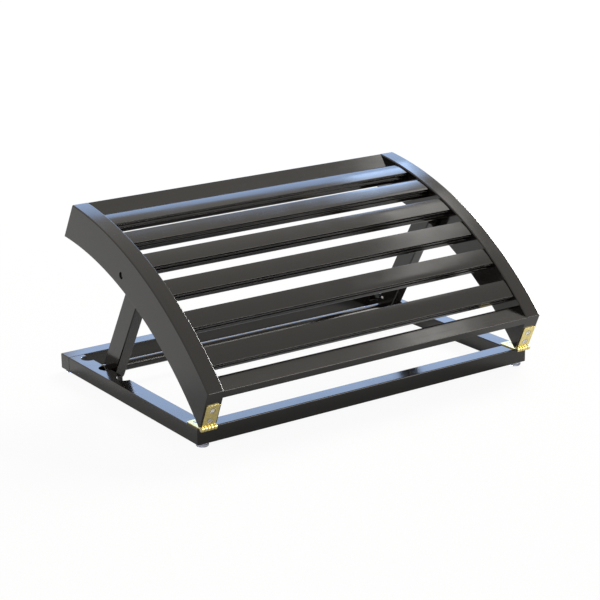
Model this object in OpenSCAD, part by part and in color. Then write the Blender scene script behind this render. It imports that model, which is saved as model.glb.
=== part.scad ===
// Slatted bamboo footrest: a curved platform hinged to a flat base frame and
// propped by a swinging strut whose pegs drop into pockets in the base.
// Millimetres. X runs along the slats, Y points to the rear, Z points up.

/* [Base frame] */
// overall width across the side rails
base_w = 450; // [300:1:600]
// depth of the base from front face to rear face
base_d = 304; // [240:1:420]
// height of every base rail
base_h = 18; // [14:0.5:30]
// thickness of the side rails, shared by base and platform
rail_t = 20; // [14:0.5:30]
// width of the front and rear base rails seen from above
cross_w = 20; // [14:0.5:36]
// small rounding of the base rail edges
rail_edge = 1.2; // [0.4:0.1:3]
// radius of the hidden corner dowels
corner_dowel_r = 2.5; // [1.5:0.1:4]
// length of a corner dowel in each cross rail
corner_dowel_in = 14; // [8:0.5:24]
// length of a corner dowel past the joint
corner_dowel_out = 7; // [5:0.5:10]
// height of the rear corner dowels above the rail underside
corner_dowel_up = 5.5; // [4:0.5:12]

/* [Peg pockets] */
// distance from the base front to the middle pocket
pocket_y = 226.5; // [150:0.5:240]
// spacing of the three pockets
pocket_pitch = 42; // [25:0.5:60]
// width of a pocket along the rail
pocket_w = 17; // [12:0.5:24]
// reach of a pocket into the rail from its inner face
pocket_reach = 11; // [8:0.5:16]

/* [Bumper feet] */
// radius of a bumper foot
foot_r = 7; // [4:0.1:10]
// height of a bumper foot
foot_h = 4.4; // [2:0.1:8]
// radius of the flat under a bumper foot
foot_flat_r = 5.4; // [2:0.1:6.5]
// distance of a foot centre from the base edges in depth
foot_inset = 7.5; // [7:0.5:30]

/* [Platform curve] */
// outer radius of the curved side rails
curve_r = 458.5; // [350:0.5:700]
// width of the curved boards
board_w = 43.3; // [30:0.1:70]
// rear top edge of the platform, measured from the base front
rear_y = 256.1; // [200:0.1:300]
// rear top edge of the platform, measured from the base underside
rear_z = 205.5; // [150:0.1:260]
// length of the front end cut from the hinge to the top edge
front_cut = 46.7; // [40:0.1:70]
// lean of the rear end cut from vertical
rear_lean = 29.7; // [0:0.1:45]
// lean of the front end cut from vertical
front_lean = 23.4; // [0:0.1:45]
// bevel along the long edges of the curved rails
arris = 1.5; // [0.2:0.1:3]

/* [Slats] */
// width of a slat
slat_w = 23; // [16:0.5:40]
// thickness of a slat
slat_t = 13.2; // [8:0.1:18]
// depth of the slat tops below the rail edge
slat_recess = 2; // [0:0.1:5]
// distance along the curve from the rear end to the first middle slat
slat_first = 46.2; // [30:0.1:60]
// distance along the curve from the last middle slat to the front end
slat_last = 42.5; // [30:0.1:60]
// growth of the slat spacing toward the front, for each square of a step
slat_growth = 0.62; // [0:0.01:2]
// rise of the slightly domed slat top
slat_crown = 0.3; // [0:0.05:2]
// rounding of the upper slat edges
slat_round = 1; // [0.5:0.1:4]
// rounding of the lower slat edges
slat_under = 1.4; // [0.5:0.1:3]
// rounding of the plain edge of an end slat
slat_corner = 0.6; // [0.2:0.1:2]
// level of the upper groove of a slat edge below the top
groove_1 = 2.4; // [2:0.1:4]
// width of the upper groove
groove_1_w = 1.4; // [0.5:0.1:2]
// depth of the upper groove
groove_1_d = 1.2; // [0.3:0.1:3]
// level of the lower groove of a slat edge below the top
groove_2 = 6.5; // [5:0.1:9]
// width of the lower groove
groove_2_w = 2.2; // [0.5:0.1:3]
// depth of the lower groove
groove_2_d = 2; // [0.3:0.1:3]
// bevel under the front slat
front_bevel = 4; // [1:0.1:8]
// radius of the hidden dowels in the slat ends
slat_dowel_r = 3; // [2:0.1:4]
// depth of a slat dowel in wood on each side of the joint
slat_dowel_in = 12; // [6:0.5:16]

/* [Hinges] */
// thickness of a hinge leaf
leaf_t = 1.2; // [0.8:0.1:2.5]
// length of the row of hinge knuckles along the pin
leaf_w = 19; // [14:0.1:19.6]
// step in from the knuckles to the side of the leaf plate
leaf_side = 1.3; // [0:0.1:2]
// rounding of the leaf corners
leaf_corner = 2; // [0.5:0.1:4]
// length of a leaf measured from the pin
leaf_len = 30.8; // [28:0.1:40]
// gap between the two closed leaves
leaf_gap = 0.6; // [0.2:0.1:2]
// reach of the pin in front of the base
pin_reach = 5.6; // [4:0.1:12]
// radius of the hinge pin
pin_r = 1.1; // [0.8:0.05:2]
// outer radius of the knuckles
knuckle_r = 3; // [2:0.1:4.5]
// first screw, measured from the pin
screw_near = 9.5; // [8:0.5:14]
// second screw, measured from the pin
screw_far = 23; // [16:0.5:30]
// radius of a screw head
head_r = 3.6; // [2:0.1:4.5]
// radius of a screw shank
shank_r = 1.3; // [0.8:0.05:2]
// length of a screw under its head
screw_len = 11; // [8:0.5:14]
// rise of a domed screw head above its leaf
head_rise = 0.25; // [0.1:0.05:0.8]
// width of the slot in a screw head
slot_w = 0.8; // [0.5:0.1:1.2]
// depth of that slot
slot_d = 0.75; // [0.3:0.05:1]

/* [Strut] */
// distance of the pivot along the curve from the rear end
pivot_along = 121; // [60:0.5:200]
// depth of the pivot below the outer edge of the curved rail
pivot_in = 28.6; // [20:0.1:35]
// radius of the pivot dowel
pivot_r = 4; // [3:0.1:6]
// depth of the pivot dowel below the rail face
pivot_recess = 1.5; // [0.5:0.1:4]
// width of a leg
leg_w = 25.6; // [18:0.1:40]
// thickness of a leg
leg_t = 14.2; // [8:0.1:20]
// gap between a leg and the rail beside it
leg_gap = 2.6; // [1:0.1:6]
// bevel along the leg edges
leg_edge = 1; // [0.3:0.1:3]
// radius of the cross dowel and its pegs
peg_r = 6; // [4:0.1:8]
// height of the cross dowel above the base underside
peg_z = 15.5; // [12:0.1:24]
// gap between a peg and the pocket floor
peg_gap = 0.3; // [0.2:0.05:1]
// gap between a peg and the rear wall of its pocket
peg_rear_gap = 0.5; // [0.2:0.05:1.5]
// end gap between a peg and the pocket
peg_end_gap = 5.5; // [4:0.1:7]
// radius of the round screw head on a leg
leg_screw_r = 2; // [1.5:0.1:4]
// radius of its shank
leg_shank_r = 1.2; // [0.8:0.1:1.4]
// height of its head
leg_head_h = 1.2; // [0.5:0.1:2]
// distance of that screw from the cross dowel along the leg
leg_screw_up = 11; // [9:0.1:20]

/* [Fits] */
// radial clearance of a part that turns on its pin
run_fit = 0.05; // [0.02:0.01:0.1]
// radial clearance of a glued or screwed part in its hole
glue_fit = 0.03; // [0.01:0.01:0.2]
// side gap between hinge knuckles
side_fit = 0.3; // [0.1:0.05:1]

/* [Hidden] */
$fn = 64;
half = base_w / 2;
inner = half - rail_t;
side_end = base_d - cross_w;
pocket_floor = peg_z - peg_r - peg_gap;
peg_y = pocket_y + pocket_w / 2 - peg_rear_gap - peg_r;
curve_in = curve_r - board_w;
slat_r = curve_r - slat_recess;
leaf_out = leaf_t + leaf_gap / 2;
pin_y = -pin_reach;
pin_z = base_h + leaf_out;
leaf_x = half - rail_t / 2 - leaf_w / 2;
knuckle_n = 5;
knuckle_l = (leaf_w - (knuckle_n - 1) * side_fit) / knuckle_n;
// direction up the front end cut, and its outward normal, as [y, z]
cut_d = [-sin(front_lean), cos(front_lean)];
cut_n = [-cos(front_lean), -sin(front_lean)];
cut_0 = [pin_y, pin_z] - leaf_out * cut_n;
front_top = cut_0 + front_cut * cut_d;
// direction down the rear end cut, as [y, z]
rear_d = [sin(rear_lean), -cos(rear_lean)];
rear_top = [rear_y, rear_z];
// the curve is the arc of its radius from the front top edge to the rear one
chord = rear_top - front_top;
curve_rise = sqrt(curve_r * curve_r - chord * chord / 4);
curve_c = (front_top + rear_top) / 2 + curve_rise * [chord[1], -chord[0]] / norm(chord);
rear_angle = atan2(rear_top[1] - curve_c[1], rear_top[0] - curve_c[0]);
front_angle = atan2(front_top[1] - curve_c[1], front_top[0] - curve_c[0]);
// spacing of the middle slats at the rear, so that they share the length that is left
slat_steps = 5;
slat_run = slat_r * (front_angle - rear_angle) * PI / 180 - slat_first - slat_last;
slat_pitch = slat_run / slat_steps - slat_growth * slat_steps;
pivot = curve_pt(curve_r - pivot_in, angle_at(pivot_along, curve_r));
// the strut from its pivot to the peg
strut_v = [peg_y, peg_z] - pivot;
strut_len = norm(strut_v);
strut_turn = atan2(strut_v[1], strut_v[0]);
leg_out = inner - leg_gap;
leg_in = leg_out - leg_t;
peg_end = inner + pocket_reach - peg_end_gap;
spacer_t = leg_gap - 0.2;
// places the part centrally, with its feet on the ground
shift_y = -(front_top[0] + base_d) / 2;
shift_z = foot_h;

function curve_pt(r, a) = curve_c + r * [cos(a), sin(a)];
// angle on the curve at a distance from the rear end, measured at radius r
function angle_at(s, r) = rear_angle + s / r * 180 / PI;
function slat_angle(i) = angle_at(slat_first + slat_pitch * i + slat_growth * i * i, slat_r);
function arc_pts(c, r, a0, a1, n) =
  [for (i = [0:n]) c + r * [cos(a0 + (a1 - a0) * i / n), sin(a0 + (a1 - a0) * i / n)]];
function flip(pts) = [for (i = [len(pts) - 1:-1:0]) [-pts[i][0], pts[i][1]]];
function groove(z, w, d) =
  [[-slat_w / 2, z + w / 2], [-slat_w / 2 + d, z], [-slat_w / 2, z - w / 2]];
// top edge of a slat section, rear to front
function slat_top() =
  [for (i = [-4:4]) [-i / 4 * (slat_w / 2 - slat_round), -slat_crown * pow(i / 4, 2)]];
// front edge of a slat section with its two grooves, top to bottom
function edge_grooved() = concat(
  arc_pts([-slat_w / 2 + slat_round, -slat_crown - slat_round], slat_round, 100, 180, 5),
  groove(-groove_1, groove_1_w, groove_1_d),
  groove(-groove_2, groove_2_w, groove_2_d),
  arc_pts([-slat_w / 2 + slat_under, -slat_t + slat_under], slat_under, 180, 270, 4)
);
// plain front edge, flush with the end cut, top to bottom
function edge_plain(bevel) = concat(
  arc_pts([-slat_w / 2 + slat_corner, -slat_corner], slat_corner, 90, 180, 3),
  [[-slat_w / 2, -slat_t + bevel], [-slat_w / 2 + bevel, -slat_t]]
);
// rectangle with rounded corners
function soft_box(x0, y0, x1, y1, r) = concat(
  arc_pts([x1 - r, y1 - r], r, 0, 90, 3),
  arc_pts([x0 + r, y1 - r], r, 90, 180, 3),
  arc_pts([x0 + r, y0 + r], r, 180, 270, 3),
  arc_pts([x1 - r, y0 + r], r, 270, 360, 3)
);

// outline of a leaf plate with two rounded corners
function leaf_plan() = concat(
  [[leaf_side, 0], [leaf_w - leaf_side, 0]],
  arc_pts([leaf_w - leaf_side - leaf_corner, leaf_len - leaf_corner], leaf_corner, 0, 90, 6),
  arc_pts([leaf_side + leaf_corner, leaf_len - leaf_corner], leaf_corner, 90, 180, 6)
);

// moves a piece from the base corner frame to the part frame
module seat() {
  translate([0, shift_y, shift_z]) children();
}

// the same piece on the left, mirrored across the middle
module left_hand() {
  mirror([1, 0, 0]) children();
}

// turns a section in Y and Z into a bar along X
module bar_x(x0, x1) {
  translate([x0, 0, 0])
    rotate([90, 0, 90])
      linear_extrude(x1 - x0)
        children();
}

// cylinder along X
module rod_x(x0, x1, r) {
  translate([x0, 0, 0])
    rotate([0, 90, 0])
      cylinder(h = x1 - x0, r = r);
}

// cylinder along Y
module rod_y(y0, y1, r) {
  translate([0, y0, 0])
    rotate([-90, 0, 0])
      cylinder(h = y1 - y0, r = r);
}

module pocket(y) {
  translate([inner + pocket_reach - pocket_w / 2, y, pocket_floor])
    cylinder(h = base_h, d = pocket_w);
  translate([inner - 1, y - pocket_w / 2, pocket_floor])
    cube([pocket_reach - pocket_w / 2 + 1, pocket_w, base_h]);
}

// the two dowels of one front corner, or their holes
module front_corner(fit) {
  for (y = [cross_w * 0.28, cross_w * 0.72])
    translate([0, y, base_h / 2])
      rod_x(inner - corner_dowel_in - fit, inner + corner_dowel_out + fit, corner_dowel_r + fit);
}

// the two dowels of one rear corner, or their holes
module rear_corner(fit) {
  for (x = [inner + rail_t * 0.25, inner + rail_t * 0.75])
    translate([x, 0, corner_dowel_up])
      rod_y(side_end - corner_dowel_in - fit, side_end + corner_dowel_out + fit, corner_dowel_r + fit);
}

module base_side() {
  color("saddlebrown") seat() difference() {
    translate([0, side_end, 0])
      rotate([90, 0, 0])
        linear_extrude(side_end)
          polygon(soft_box(inner, 0, half, base_h, rail_edge));
    for (i = [-1:1]) pocket(pocket_y + i * pocket_pitch);
    front_corner(glue_fit);
    rear_corner(glue_fit);
    at_base_leaf() screw_holes();
  }
}

module base_right_rail() {
  base_side();
}

module base_left_rail() {
  left_hand() base_side();
}

module base_front_rail() {
  color("saddlebrown") seat() difference() {
    bar_x(-inner, inner) polygon(soft_box(0, 0, cross_w, base_h, rail_edge));
    front_corner(glue_fit);
    left_hand() front_corner(glue_fit);
  }
}

module base_rear_rail() {
  color("saddlebrown") seat() difference() {
    bar_x(-half, half) polygon(soft_box(side_end, 0, base_d, base_h, rail_edge));
    rear_corner(glue_fit);
    left_hand() rear_corner(glue_fit);
  }
}

module base_corner_dowels() {
  color("burlywood") seat() {
    front_corner(0);
    rear_corner(0);
    left_hand() front_corner(0);
    left_hand() rear_corner(0);
  }
}

// domed bumper, flat on top where it is stuck on and flat where it stands
module bumper(x, y) {
  color("lightblue") seat()
    translate([x, y, -foot_h])
      rotate_extrude()
        polygon(concat(
          [[0, foot_h], [0, 0]],
          [for (a = [0:15:90]) [foot_flat_r + (foot_r - foot_flat_r) * sin(a), foot_h * 0.5 * (1 - cos(a))]],
          [[foot_r, foot_h]]
        ));
}

module foot_front_left() {
  bumper(-half + rail_t / 2, foot_inset);
}

module foot_front_right() {
  bumper(half - rail_t / 2, foot_inset);
}

module foot_rear_left() {
  bumper(-half + rail_t / 2, base_d - foot_inset);
}

module foot_rear_right() {
  bumper(half - rail_t / 2, base_d - foot_inset);
}

// local frame of the right base leaf: origin on the pin, Y along the leaf
module at_base_leaf() {
  translate([leaf_x, pin_y, pin_z]) children();
}

// local frame of the right platform leaf, against the front end cut
module at_platform_leaf() {
  translate([leaf_x, pin_y, pin_z])
    rotate([90 + front_lean, 0, 0])
      children();
}

// one leaf with the knuckles listed, seen with the pin along X
module leaf(mine, others, bore_r) {
  difference() {
    union() {
      difference() {
        translate([0, 0, -leaf_out]) linear_extrude(leaf_t) polygon(leaf_plan());
        for (k = others)
          translate([k * (knuckle_l + side_fit) - side_fit, -1, -leaf_out - 1])
            cube([knuckle_l + 2 * side_fit, knuckle_r + side_fit + 1, leaf_t + 2]);
      }
      for (k = mine)
        rod_x(k * (knuckle_l + side_fit), k * (knuckle_l + side_fit) + knuckle_l, knuckle_r);
    }
    rod_x(-1, leaf_w + 1, bore_r);
    for (y = [screw_near, screw_far])
      translate([leaf_w / 2, y, 0]) {
        translate([0, 0, -leaf_out - 1]) cylinder(h = leaf_t + 2, r = shank_r + 0.2);
        translate([0, 0, -leaf_out]) cylinder(h = leaf_t + 0.01, r1 = shank_r + 0.2, r2 = head_r + 0.1);
      }
  }
}

// countersunk slotted screws of one leaf
module leaf_screws() {
  for (y = [screw_near, screw_far])
    translate([leaf_w / 2, y, -leaf_out]) {
      difference() {
        union() {
          translate([0, 0, 0.1]) cylinder(h = leaf_t - 0.1, r1 = shank_r + 0.05, r2 = head_r - 0.1);
          translate([0, 0, leaf_t]) cylinder(h = head_rise, r1 = head_r - 0.1, r2 = head_r - 0.7);
        }
        translate([-head_r, -slot_w / 2, leaf_t + head_rise - slot_d])
          cube([2 * head_r, slot_w, slot_d + 1]);
      }
      translate([0, 0, -screw_len]) cylinder(h = screw_len + 0.2, r = shank_r);
      translate([0, 0, -screw_len - 1.6]) cylinder(h = 1.6, r1 = 0.3, r2 = shank_r);
    }
}

// pilot holes for the screws of one leaf
module screw_holes() {
  for (y = [screw_near, screw_far])
    translate([leaf_w / 2, y, -leaf_out - screw_len - 2])
      cylinder(h = screw_len + 3, r = shank_r + glue_fit);
}

module right_base_leaf() {
  color("goldenrod") seat() at_base_leaf() leaf([0, 2, 4], [1, 3], pin_r + glue_fit);
}

module left_base_leaf() {
  left_hand() right_base_leaf();
}

module right_platform_leaf() {
  color("goldenrod") seat() at_platform_leaf() leaf([1, 3], [0, 2, 4], pin_r + run_fit);
}

module left_platform_leaf() {
  left_hand() right_platform_leaf();
}

module right_hinge_pin() {
  color("silver") seat() at_base_leaf() rod_x(0.1, leaf_w - 0.1, pin_r);
}

module left_hinge_pin() {
  left_hand() right_hinge_pin();
}

module right_base_screws() {
  color("silver") seat() at_base_leaf() leaf_screws();
}

module left_base_screws() {
  left_hand() right_base_screws();
}

module right_platform_screws() {
  color("silver") seat() at_platform_leaf() leaf_screws();
}

module left_platform_screws() {
  left_hand() right_platform_screws();
}

// solid disc of the curve with bevelled rims, wider or narrower by its bevel
module curve_disc(r, bevel) {
  translate([inner, curve_c[0], curve_c[1]])
    rotate([0, 90, 0]) {
      cylinder(h = arris, r1 = r - bevel, r2 = r, $fn = 360);
      translate([0, 0, arris]) cylinder(h = rail_t - 2 * arris, r = r, $fn = 360);
      translate([0, 0, rail_t - arris]) cylinder(h = arris, r1 = r, r2 = r - bevel, $fn = 360);
    }
}

// positions of the slat dowels as [y, z]
function dowel_at(i) = curve_pt(slat_r - slat_t / 2, slat_angle(i));
function front_at(d, h) = front_top + d * [cos(front_lean), sin(front_lean)] - h * cut_d;
function rear_at(d, h) = rear_top - d * [cos(rear_lean), sin(rear_lean)] + h * rear_d;
function dowel_points() = concat(
  [for (i = [0:slat_steps]) dowel_at(i)],
  [for (k = [0.3, 0.7]) front_at(slat_w * k, slat_t * 0.48)],
  [for (k = [0.3, 0.7]) rear_at(slat_w * k, slat_t * 0.48)]
);

// the right-hand slat dowels, or their holes
module dowel_row(fit) {
  for (p = dowel_points())
    translate([0, p[0], p[1]])
      rod_x(inner - slat_dowel_in - fit, inner + slat_dowel_in + fit, slat_dowel_r + fit);
}

module curved_side() {
  color("saddlebrown") seat() difference() {
    intersection() {
      difference() {
        curve_disc(curve_r, arris);
        translate([-1, 0, 0]) curve_disc(curve_in, 0);
        translate([1, 0, 0]) curve_disc(curve_in, 0);
      }
      bar_x(inner, half) polygon([
        cut_0 - board_w * cut_d,
        front_top + 2 * board_w * cut_d,
        rear_top - 2 * board_w * rear_d,
        rear_top + 2 * board_w * rear_d
      ]);
    }
    dowel_row(glue_fit);
    at_pivot() rod_x(inner - 1, half + 1, pivot_r + glue_fit);
    translate([0, pin_y, pin_z]) rod_x(inner - 1, half + 1, knuckle_r + 0.5);
    at_platform_leaf() screw_holes();
  }
}

module right_side_rail() {
  curved_side();
}

module left_side_rail() {
  left_hand() curved_side();
}

// slat between the rails with its dowel holes
module slat_bar() {
  color("peru") seat() difference() {
    children();
    dowel_row(glue_fit);
    left_hand() dowel_row(glue_fit);
  }
}

module middle_slat(i) {
  p = curve_pt(slat_r, slat_angle(i));
  slat_bar()
    translate([0, p[0], p[1]])
      rotate([slat_angle(i) - 90, 0, 0])
        bar_x(-inner, inner)
          polygon(concat(slat_top(), edge_grooved(), flip(edge_grooved())));
}

// slat whose plain edge is flush with an end cut, grooved edge inward
module end_slat(corner, turn, bevel) {
  translate([0, corner[0], corner[1]])
    rotate([turn, 0, 0])
      translate([0, slat_w / 2, 0])
        bar_x(-inner, inner)
          polygon(concat([[0, 0]], edge_plain(bevel), flip(edge_grooved())));
}

module slat_8_front() {
  slat_bar() end_slat(front_top, front_lean, front_bevel);
}

module slat_1_rear() {
  slat_bar()
    translate([0, rear_top[0], rear_top[1]])
      rotate([rear_lean, 0, 0])
        mirror([0, 1, 0])
          end_slat([0, 0], 0, arris);
}

module slat_2() {
  middle_slat(0);
}

module slat_3() {
  middle_slat(1);
}

module slat_4() {
  middle_slat(2);
}

module slat_5() {
  middle_slat(3);
}

module slat_6() {
  middle_slat(4);
}

module slat_7() {
  middle_slat(5);
}

module slat_dowels() {
  color("burlywood") seat() {
    dowel_row(0);
    left_hand() dowel_row(0);
  }
}

module at_pivot() {
  translate([0, pivot[0], pivot[1]]) children();
}

module right_pivot_dowel() {
  color("sienna") seat() at_pivot()
    rod_x(leg_in - 1, half - pivot_recess, pivot_r);
}

module left_pivot_dowel() {
  left_hand() right_pivot_dowel();
}

module right_pivot_spacer() {
  color("silver") seat() at_pivot() difference() {
    rod_x(inner - spacer_t, inner, pivot_r + 3);
    rod_x(inner - spacer_t - 1, inner + 1, pivot_r + glue_fit);
  }
}

module left_pivot_spacer() {
  left_hand() right_pivot_spacer();
}

// disc along X with bevelled rims, the rounded end of a leg
module leg_end() {
  translate([leg_in, 0, 0])
    rotate([0, 90, 0]) {
      cylinder(h = leg_edge, r1 = leg_w / 2 - leg_edge, r2 = leg_w / 2);
      translate([0, 0, leg_edge]) cylinder(h = leg_t - 2 * leg_edge, d = leg_w);
      translate([0, 0, leg_t - leg_edge])
        cylinder(h = leg_edge, r1 = leg_w / 2, r2 = leg_w / 2 - leg_edge);
    }
}

// local frame of the strut: origin on the pivot, Y toward the peg
module at_strut() {
  at_pivot() rotate([strut_turn, 0, 0]) children();
}

// section of a leg in X and Z, with bevelled corners
function leg_section() = [
  [leg_in + leg_edge, -leg_w / 2], [leg_out - leg_edge, -leg_w / 2],
  [leg_out, -leg_w / 2 + leg_edge], [leg_out, leg_w / 2 - leg_edge],
  [leg_out - leg_edge, leg_w / 2], [leg_in + leg_edge, leg_w / 2],
  [leg_in, leg_w / 2 - leg_edge], [leg_in, -leg_w / 2 + leg_edge]
];

module right_leg() {
  color("peru") seat() at_strut() difference() {
    union() {
      leg_end();
      translate([0, strut_len, 0]) leg_end();
      translate([0, strut_len, 0])
        rotate([90, 0, 0])
          linear_extrude(strut_len)
            polygon(leg_section());
    }
    rod_x(leg_in - 1, leg_out + 1, pivot_r + run_fit);
    translate([0, strut_len, 0]) rod_x(leg_in - 1, leg_out + 1, peg_r + glue_fit);
    translate([0, strut_len - leg_screw_up, leg_w / 4]) rod_x(leg_in - 1, leg_out - 3, leg_shank_r + glue_fit);
  }
}

module left_leg() {
  left_hand() right_leg();
}

module cross_dowel() {
  color("sienna") seat()
    translate([0, peg_y, peg_z]) {
      rod_x(-peg_end + 1, peg_end - 1, peg_r);
      translate([peg_end - 1, 0, 0]) rotate([0, 90, 0]) cylinder(h = 1, r1 = peg_r, r2 = peg_r - 1);
      translate([1 - peg_end, 0, 0]) rotate([0, -90, 0]) cylinder(h = 1, r1 = peg_r, r2 = peg_r - 1);
    }
}

module right_leg_screw() {
  color("silver") seat() at_strut()
    translate([0, strut_len - leg_screw_up, leg_w / 4]) {
      rod_x(leg_in, leg_out - 4, leg_shank_r);
      translate([leg_in, 0, 0])
        rotate([0, -90, 0])
          cylinder(h = leg_head_h, r1 = leg_screw_r, r2 = leg_screw_r * 0.55);
    }
}

module left_leg_screw() {
  left_hand() right_leg_screw();
}

base_left_rail();
base_right_rail();
base_front_rail();
base_rear_rail();
base_corner_dowels();
foot_front_left();
foot_front_right();
foot_rear_left();
foot_rear_right();
left_base_leaf();
right_base_leaf();
left_hinge_pin();
right_hinge_pin();
left_base_screws();
right_base_screws();
left_side_rail();
right_side_rail();
slat_1_rear();
slat_2();
slat_3();
slat_4();
slat_5();
slat_6();
slat_7();
slat_8_front();
slat_dowels();
left_platform_leaf();
right_platform_leaf();
left_platform_screws();
right_platform_screws();
left_pivot_dowel();
right_pivot_dowel();
left_pivot_spacer();
right_pivot_spacer();
left_leg();
right_leg();
cross_dowel();
left_leg_screw();
right_leg_screw();
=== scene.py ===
import bpy
import bmesh
import math
from mathutils import Matrix, Vector


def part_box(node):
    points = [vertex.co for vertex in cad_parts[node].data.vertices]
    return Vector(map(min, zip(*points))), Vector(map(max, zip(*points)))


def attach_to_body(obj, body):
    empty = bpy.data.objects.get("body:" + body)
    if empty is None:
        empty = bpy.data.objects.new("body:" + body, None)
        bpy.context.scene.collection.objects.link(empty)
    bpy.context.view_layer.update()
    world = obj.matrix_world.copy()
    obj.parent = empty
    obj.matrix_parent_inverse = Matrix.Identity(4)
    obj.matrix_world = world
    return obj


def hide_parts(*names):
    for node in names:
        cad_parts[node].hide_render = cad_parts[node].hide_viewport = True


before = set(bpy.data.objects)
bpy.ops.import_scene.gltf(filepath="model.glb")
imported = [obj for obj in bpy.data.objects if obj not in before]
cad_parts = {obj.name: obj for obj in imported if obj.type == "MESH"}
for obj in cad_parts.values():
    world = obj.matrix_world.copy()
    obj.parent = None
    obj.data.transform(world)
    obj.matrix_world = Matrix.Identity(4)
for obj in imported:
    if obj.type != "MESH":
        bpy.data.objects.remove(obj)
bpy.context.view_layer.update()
scene = bpy.context.scene
print("frame loaded")

# Sizes are in mm from the lower front edge of the base, as the maker would measure them.
mm = 0.001
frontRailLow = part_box("base_front_rail")[0]
cutPast = 2  # how far a cutting shape passes the faces of the piece it cuts
weldWithin = 0.0005


def toFrame(x, y, z):
    return Vector((x * mm, y * mm + frontRailLow.y, z * mm + frontRailLow.z))


def sideView(co, origin):
    # a corner's place seen from the side, in mm from a point there
    return (co.y - frontRailLow.y) / mm - origin[0], (co.z - frontRailLow.z) / mm - origin[1]


def sinD(a):
    return math.sin(math.radians(a))


def cosD(a):
    return math.cos(math.radians(a))


# Node helpers

def openSocket(sockets, key):
    # by number, or the one socket of this name that suits the node's data type
    if isinstance(key, int):
        return sockets[key]
    return [s for s in sockets if s.name == key and s.enabled][0]


def feed(tree, socket, value):
    # another node's socket is linked, anything else becomes the socket's own value
    if isinstance(value, bpy.types.NodeSocket):
        tree.links.new(value, socket)
    else:
        socket.default_value = (*value, 1.0) if socket.type == "RGBA" else value


def newNode(tree, kind, feeds=None, **settings):
    node = tree.nodes.new(kind)
    place = len(tree.nodes) - 1
    node.location = (place % 10 * 220, place // 10 * -320)  # rows of ten in the editor
    for name, value in settings.items():
        setattr(node, name, value)
    for key, value in (feeds or {}).items():
        feed(tree, openSocket(node.inputs, key), value)
    return node


def outOf(tree, kind, feeds=None, **settings):
    return newNode(tree, kind, feeds, **settings).outputs[0]


def calc(tree, operation, *values, clamp=False):
    feeds = dict(enumerate(values))
    return outOf(tree, "ShaderNodeMath", feeds, operation=operation, use_clamp=clamp)


def total(tree, a, b):
    return calc(tree, "ADD", a, b)


def product(tree, a, b):
    return calc(tree, "MULTIPLY", a, b)


def vectorCalc(tree, operation, a, b):
    return outOf(tree, "ShaderNodeVectorMath", {0: a, 1: b}, operation=operation)


def joinXYZ(tree, **parts):
    return outOf(tree, "ShaderNodeCombineXYZ", parts)


def noise(tree, vector, scale, detail, roughness=0.5):
    feeds = {"Vector": vector, "Scale": scale, "Detail": detail, "Roughness": roughness}
    return newNode(tree, "ShaderNodeTexNoise", feeds).outputs["Fac"]


def spread(tree, value, low, high, fromLow=0.0, fromHigh=1.0, blend="LINEAR"):
    feeds = {"Value": value, "From Min": fromLow, "From Max": fromHigh, "To Min": low, "To Max": high}
    return outOf(tree, "ShaderNodeMapRange", feeds, interpolation_type=blend)


def mixColour(tree, factor, a, b):
    # 0, 6 and 7 are the colour sockets of a Mix node, and 2 is its colour output
    return newNode(tree, "ShaderNodeMix", {0: factor, 6: a, 7: b}, data_type="RGBA").outputs[2]


def relief(tree, height, strength, distance):
    feeds = {"Height": height, "Strength": strength, "Distance": distance}
    return newNode(tree, "ShaderNodeBump", feeds).outputs["Normal"]


def newTree(name, treeKind, inputs, outputs, outputKind="Float"):
    # an input is given as its kind of socket, or as its value where it is a plain number
    tree = bpy.data.node_groups.new(name, treeKind)
    for socketName, given in inputs.items():
        kind = given if isinstance(given, str) else "Float"
        socket = tree.interface.new_socket(name=socketName, in_out="INPUT", socket_type="NodeSocket" + kind)
        if kind != given:
            socket.default_value = given
    for socketName in outputs:
        tree.interface.new_socket(name=socketName, in_out="OUTPUT", socket_type="NodeSocket" + outputKind)
    return tree, newNode(tree, "NodeGroupInput").outputs, newNode(tree, "NodeGroupOutput").inputs


# Shared shader groups

bambooGrain = {
    "fibreScale": 420.0,
    "fibreStretch": (0.025, 1.0, 1.0),  # squeezed along the length
    "fibreDetail": 5.0,
    "fibreRoughness": 0.62,
    "stripWidth": 0.0058,
    "jointStart": 0.46,  # half a strip is 0.5
    "cloudScale": 26.0,
    "cloudDetail": 2.0,
    "lotStep": {"X": 3.1, "Y": 0.37, "Z": 0.61},  # how far the next lot moves the pattern
}


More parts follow.
